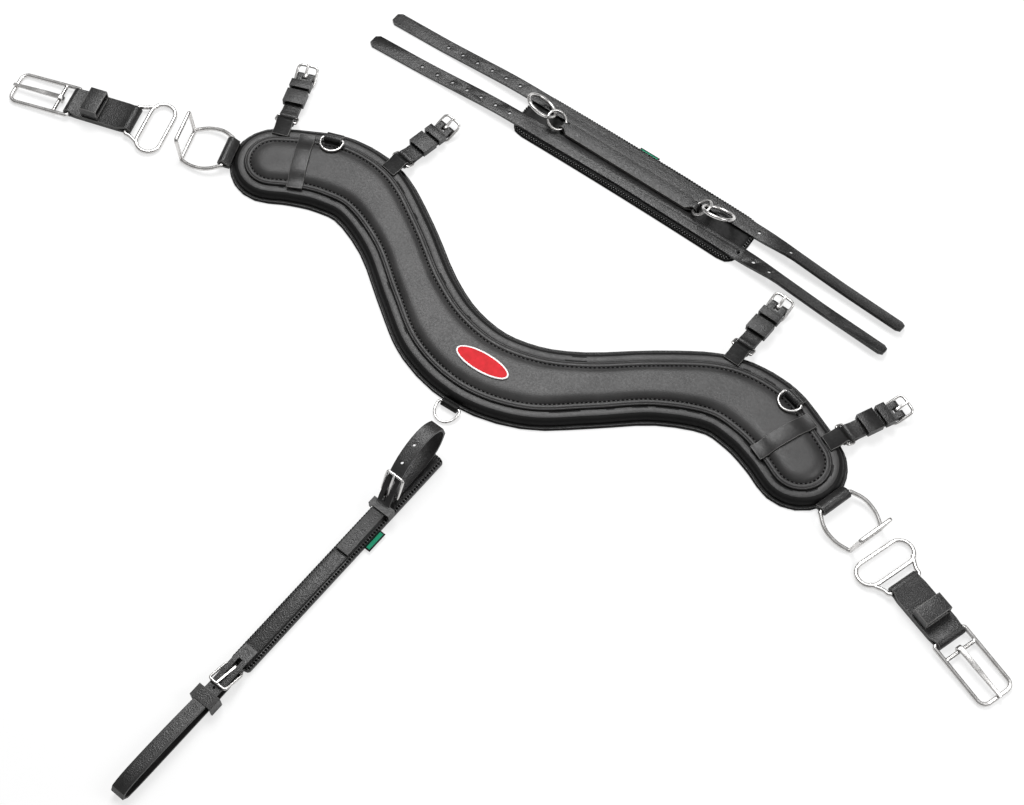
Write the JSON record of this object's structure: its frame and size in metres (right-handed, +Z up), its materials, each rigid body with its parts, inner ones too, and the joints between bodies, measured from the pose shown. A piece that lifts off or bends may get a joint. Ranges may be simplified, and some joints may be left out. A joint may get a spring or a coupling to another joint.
{
  "type": "driving harness",
  "caption": "Black leather breast-collar driving harness laid out flat as a set: padded collar with buckled tugs and dees, trace tugs, padded neck strap and false martingale.",
  "frame": {"origin": "on the surface that the set lies on, under the lowest point of the breast collar's centre line", "axes": "+X from the collar's left end to its right end as laid out, +Y towards the neck strap, +Z up from the surface"},
  "size_m": [1.3469, 0.9604, 0.0538],
  "materials": {
    "black_leather": "smooth black harness leather with a broad soft sheen",
    "lining_leather": "soft matt black lining leather",
    "polished_steel": "polished stainless steel",
    "red_enamel": "plain red enamel"
  },
  "bodies": {
    "collar": {"collar_lining": "lining_leather", "collar_padding": "black_leather", "collar_face": "black_leather", "badge": "red_enamel", "cross_strap_left": "black_leather", "cross_strap_right": "black_leather", "face_dee_tab_left": "black_leather", "face_dee_tab_right": "black_leather", "end_tab_left": "black_leather", "end_tab_right": "black_leather", "tug_outer_left_tab": "black_leather", "tug_inner_left_tab": "black_leather", "tug_inner_right_tab": "black_leather", "tug_outer_right_tab": "black_leather"},
    "face_dee_left_ring": {"face_dee_left": "polished_steel"},
    "face_dee_right_ring": {"face_dee_right": "polished_steel"},
    "centre_dee_ring": {"centre_dee": "polished_steel"},
    "trace_dee_left_ring": {"trace_dee_left": "polished_steel"},
    "trace_dee_right_ring": {"trace_dee_right": "polished_steel"},
    "tug_outer_left_loop_body": {"tug_outer_left_loop": "polished_steel"},
    "tug_outer_left_strap_body": {"tug_outer_left_strap": "black_leather"},
    "tug_outer_left_buckle_body": {"tug_outer_left_buckle": "polished_steel"},
    "tug_outer_left_tongue_body": {"tug_outer_left_tongue": "polished_steel"},
    "tug_inner_left_loop_body": {"tug_inner_left_loop": "polished_steel"},
    "tug_inner_left_strap_body": {"tug_inner_left_strap": "black_leather"},
    "tug_inner_left_buckle_body": {"tug_inner_left_buckle": "polished_steel"},
    "tug_inner_left_tongue_body": {"tug_inner_left_tongue": "polished_steel"},
    "tug_inner_right_loop_body": {"tug_inner_right_loop": "polished_steel"},
    "tug_inner_right_strap_body": {"tug_inner_right_strap": "black_leather"},
    "tug_inner_right_buckle_body": {"tug_inner_right_buckle": "polished_steel"},
    "tug_inner_right_tongue_body": {"tug_inner_right_tongue": "polished_steel"},
    "tug_outer_right_loop_body": {"tug_outer_right_loop": "polished_steel"},
    "tug_outer_right_strap_body": {"tug_outer_right_strap": "black_leather"},
    "tug_outer_right_buckle_body": {"tug_outer_right_buckle": "polished_steel"},
    "tug_outer_right_tongue_body": {"tug_outer_right_tongue": "polished_steel"},
    "trace_tug_left": {"trace_leather_left": "black_leather", "trace_keeper_left": "black_leather"},
    "trace_tug_left_loop": {"slot_loop_left": "polished_steel"},
    "trace_tug_left_buckle": {"trace_buckle_left": "polished_steel"},
    "trace_tug_left_tongue": {"trace_tongue_left": "polished_steel"},
    "trace_tug_right": {"trace_leather_right": "black_leather", "trace_keeper_right": "black_leather"},
    "trace_tug_right_loop": {"slot_loop_right": "polished_steel"},
    "trace_tug_right_buckle": {"trace_buckle_right": "polished_steel"},
    "trace_tug_right_tongue": {"trace_tongue_right": "polished_steel"},
    "neck_strap": {"neck_pad": "lining_leather", "neck_upper_strap": "black_leather", "neck_lower_strap": "black_leather", "neck_strip": "black_leather"},
    "chape_ring_left_body": {"chape_ring_left": "polished_steel"},
    "rein_ring_left_body": {"rein_ring_left": "polished_steel"},
    "chape_ring_right_body": {"chape_ring_right": "polished_steel"},
    "rein_ring_right_body": {"rein_ring_right": "polished_steel"},
    "martingale": {"martingale_pad": "lining_leather", "billet_strap": "black_leather", "girth_strap": "black_leather"},
    "billet_buckle_body": {"billet_buckle": "polished_steel"},
    "billet_tongue_body": {"billet_tongue": "polished_steel"},
    "girth_buckle_body": {"girth_buckle": "polished_steel"},
    "girth_tongue_body": {"girth_tongue": "polished_steel"}
  },
  "joints": [
    {"name": "face_dee_left_hinge", "type": "hinge", "parent": "collar", "child": "face_dee_left_ring", "pos_m": [-0.31095, 0.15783, 0.01895], "axis": [-0.9549, -0.297, 0], "range_deg": [0, 100]},
    {"name": "face_dee_right_hinge", "type": "hinge", "parent": "collar", "child": "face_dee_right_ring", "pos_m": [0.31095, 0.15783, 0.01895], "axis": [-0.9549, 0.297, 0], "range_deg": [0, 100]},
    {"name": "centre_dee_hinge", "type": "hinge", "parent": "collar", "child": "centre_dee_ring", "pos_m": [0, -0.05162, 0.005], "axis": [-1, 0, 0], "range_deg": [0, 80]},
    {"name": "trace_dee_left_hinge", "type": "hinge", "parent": "collar", "child": "trace_dee_left_ring", "pos_m": [-0.40785, 0.07876, 0.0098], "axis": [-0.284, 0.9588, 0], "range_deg": [0, 80]},
    {"name": "trace_dee_right_hinge", "type": "hinge", "parent": "collar", "child": "trace_dee_right_ring", "pos_m": [0.40778, 0.07855, 0.0098], "axis": [-0.3338, -0.9426, 0], "range_deg": [0, 80]},
    {"name": "tug_outer_left_loop_hinge", "type": "hinge", "parent": "collar", "child": "tug_outer_left_loop_body", "pos_m": [-0.37572, 0.15001, 0.0135], "axis": [0.9511, 0.309, 0], "range_deg": [0, 45]},
    {"name": "tug_outer_left_strap_hinge", "type": "hinge", "parent": "tug_outer_left_loop_body", "child": "tug_outer_left_strap_body", "pos_m": [-0.37861, 0.15889, 0.00992], "axis": [0.9511, 0.309, 0], "range_deg": [0, 90]},
    {"name": "tug_outer_left_buckle_hinge", "type": "hinge", "parent": "tug_outer_left_strap_body", "child": "tug_outer_left_buckle_body", "pos_m": [-0.39836, 0.21969, 0.00695], "axis": [0.9511, 0.309, 0], "range_deg": [0, 40]},
    {"name": "tug_outer_left_tongue_hinge", "type": "hinge", "parent": "tug_outer_left_buckle_body", "child": "tug_outer_left_tongue_body", "pos_m": [-0.39836, 0.21969, 0.00695], "axis": [0.9511, 0.309, 0], "range_deg": [0, 60]},
    {"name": "tug_inner_left_loop_hinge", "type": "hinge", "parent": "collar", "child": "tug_inner_left_loop_body", "pos_m": [-0.22994, 0.17939, 0.0135], "axis": [0.9781, -0.2079, 0], "range_deg": [0, 45]},
    {"name": "tug_inner_left_strap_hinge", "type": "hinge", "parent": "tug_inner_left_loop_body", "child": "tug_inner_left_strap_body", "pos_m": [-0.22799, 0.18853, 0.00992], "axis": [0.9781, -0.2079, 0], "range_deg": [0, 90]},
    {"name": "tug_inner_left_buckle_hinge", "type": "hinge", "parent": "tug_inner_left_strap_body", "child": "tug_inner_left_buckle_body", "pos_m": [-0.2147, 0.25106, 0.00695], "axis": [0.9781, -0.2079, 0], "range_deg": [0, 40]},
    {"name": "tug_inner_left_tongue_hinge", "type": "hinge", "parent": "tug_inner_left_buckle_body", "child": "tug_inner_left_tongue_body", "pos_m": [-0.2147, 0.25106, 0.00695], "axis": [0.9781, -0.2079, 0], "range_deg": [0, 60]},
    {"name": "tug_inner_right_loop_hinge", "type": "hinge", "parent": "collar", "child": "tug_inner_right_loop_body", "pos_m": [0.23098, 0.1825, 0.0135], "axis": [0.9962, -0.0872, 0], "range_deg": [0, 45]},
    {"name": "tug_inner_right_strap_hinge", "type": "hinge", "parent": "tug_inner_right_loop_body", "child": "tug_inner_right_strap_body", "pos_m": [0.23179, 0.1918, 0.00992], "axis": [0.9962, -0.0872, 0], "range_deg": [0, 90]},
    {"name": "tug_inner_right_buckle_hinge", "type": "hinge", "parent": "tug_inner_right_strap_body", "child": "tug_inner_right_buckle_body", "pos_m": [0.23737, 0.25549, 0.00695], "axis": [0.9962, -0.0872, 0], "range_deg": [0, 40]},
    {"name": "tug_inner_right_tongue_hinge", "type": "hinge", "parent": "tug_inner_right_buckle_body", "child": "tug_inner_right_tongue_body", "pos_m": [0.23737, 0.25549, 0.00695], "axis": [0.9962, -0.0872, 0], "range_deg": [0, 60]},
    {"name": "tug_outer_right_loop_hinge", "type": "hinge", "parent": "collar", "child": "tug_outer_right_loop_body", "pos_m": [0.37626, 0.14978, 0.0135], "axis": [0.8829, -0.4695, 0], "range_deg": [0, 45]},
    {"name": "tug_outer_right_strap_hinge", "type": "hinge", "parent": "tug_outer_right_loop_body", "child": "tug_outer_right_strap_body", "pos_m": [0.38065, 0.15802, 0.00992], "axis": [0.8829, -0.4695, 0], "range_deg": [0, 90]},
    {"name": "tug_outer_right_buckle_hinge", "type": "hinge", "parent": "tug_outer_right_strap_body", "child": "tug_outer_right_buckle_body", "pos_m": [0.41066, 0.21447, 0.00695], "axis": [0.8829, -0.4695, 0], "range_deg": [0, 40]},
    {"name": "tug_outer_right_tongue_hinge", "type": "hinge", "parent": "tug_outer_right_buckle_body", "child": "tug_outer_right_tongue_body", "pos_m": [0.41066, 0.21447, 0.00695], "axis": [0.8829, -0.4695, 0], "range_deg": [0, 60]},
    {"name": "trace_tug_left_lift", "type": "slide", "parent": "collar", "child": "trace_tug_left", "axis": [0, 0, 1], "range_m": [0, 0.15]},
    {"name": "slot_loop_left_hinge", "type": "hinge", "parent": "trace_tug_left", "child": "trace_tug_left_loop", "pos_m": [-0.53308, 0.054, 0.0067], "axis": [0.2419, -0.9703, 0], "range_deg": [0, 90]},
    {"name": "trace_buckle_left_hinge", "type": "hinge", "parent": "trace_tug_left", "child": "trace_tug_left_buckle", "pos_m": [-0.60682, 0.03561, 0.0067], "axis": [-0.2419, 0.9703, 0], "range_deg": [0, 60]},
    {"name": "trace_tongue_left_hinge", "type": "hinge", "parent": "trace_tug_left_buckle", "child": "trace_tug_left_tongue", "pos_m": [-0.62475, 0.03114, 0.00577], "axis": [-0.2419, 0.9703, 0], "range_deg": [0, 90]},
    {"name": "trace_tug_right_lift", "type": "slide", "parent": "collar", "child": "trace_tug_right", "axis": [0, 0, 1], "range_m": [0, 0.15]},
    {"name": "slot_loop_right_hinge", "type": "hinge", "parent": "trace_tug_right", "child": "trace_tug_right_loop", "pos_m": [0.51484, 0.03714, 0.0067], "axis": [0.3665, 0.9304, 0], "range_deg": [0, 90]},
    {"name": "trace_buckle_right_hinge", "type": "hinge", "parent": "trace_tug_right", "child": "trace_tug_right_buckle", "pos_m": [0.57997, 0.01148, 0.0067], "axis": [-0.3665, -0.9304, 0], "range_deg": [0, 60]},
    {"name": "trace_tongue_right_hinge", "type": "hinge", "parent": "trace_tug_right_buckle", "child": "trace_tug_right_tongue", "pos_m": [0.59716, 0.00471, 0.00577], "axis": [-0.3665, -0.9304, 0], "range_deg": [0, 90]},
    {"name": "neck_strap_lift", "type": "slide", "parent": "collar", "child": "neck_strap", "axis": [0, 0, 1], "range_m": [0, 0.15]},
    {"name": "chape_ring_left_hinge", "type": "hinge", "parent": "neck_strap", "child": "chape_ring_left_body", "pos_m": [-0.09731, 0.32732, 0.0123], "axis": [0.061, 0.9981, 0], "range_deg": [0, 60]},
    {"name": "rein_ring_left_hinge", "type": "hinge", "parent": "chape_ring_left_body", "child": "rein_ring_left_body", "pos_m": [-0.11834, 0.32861, 0.02304], "axis": [0.061, 0.9981, 0], "range_deg": [0, 20]},
    {"name": "chape_ring_right_hinge", "type": "hinge", "parent": "neck_strap", "child": "chape_ring_right_body", "pos_m": [0.09035, 0.31595, 0.0123], "axis": [-0.061, -0.9981, 0], "range_deg": [0, 60]},
    {"name": "rein_ring_right_hinge", "type": "hinge", "parent": "chape_ring_right_body", "child": "rein_ring_right_body", "pos_m": [0.1092, 0.31479, 0.02653], "axis": [-0.061, -0.9981, 0], "range_deg": [0, 20]},
    {"name": "martingale_lift", "type": "slide", "parent": "collar", "child": "martingale", "axis": [0, 0, 1], "range_m": [0, 0.15]},
    {"name": "billet_buckle_hinge", "type": "hinge", "parent": "martingale", "child": "billet_buckle_body", "pos_m": [0.01134, -0.1809, 0.0186], "axis": [0.9956, -0.0941, 0], "range_deg": [0, 40]},
    {"name": "billet_tongue_hinge", "type": "hinge", "parent": "billet_buckle_body", "child": "billet_tongue_body", "pos_m": [0.01134, -0.1809, 0.0186], "axis": [0.9956, -0.0941, 0], "range_deg": [0, 35]},
    {"name": "girth_buckle_hinge", "type": "hinge", "parent": "martingale", "child": "girth_buckle_body", "pos_m": [-0.00864, -0.4241, 0.0084], "axis": [-0.9956, 0.0941, 0], "range_deg": [0, 40]},
    {"name": "girth_tongue_hinge", "type": "hinge", "parent": "girth_buckle_body", "child": "girth_tongue_body", "pos_m": [-0.00864, -0.4241, 0.0084], "axis": [-0.9956, 0.0941, 0], "range_deg": [0, 45]}
  ]
}
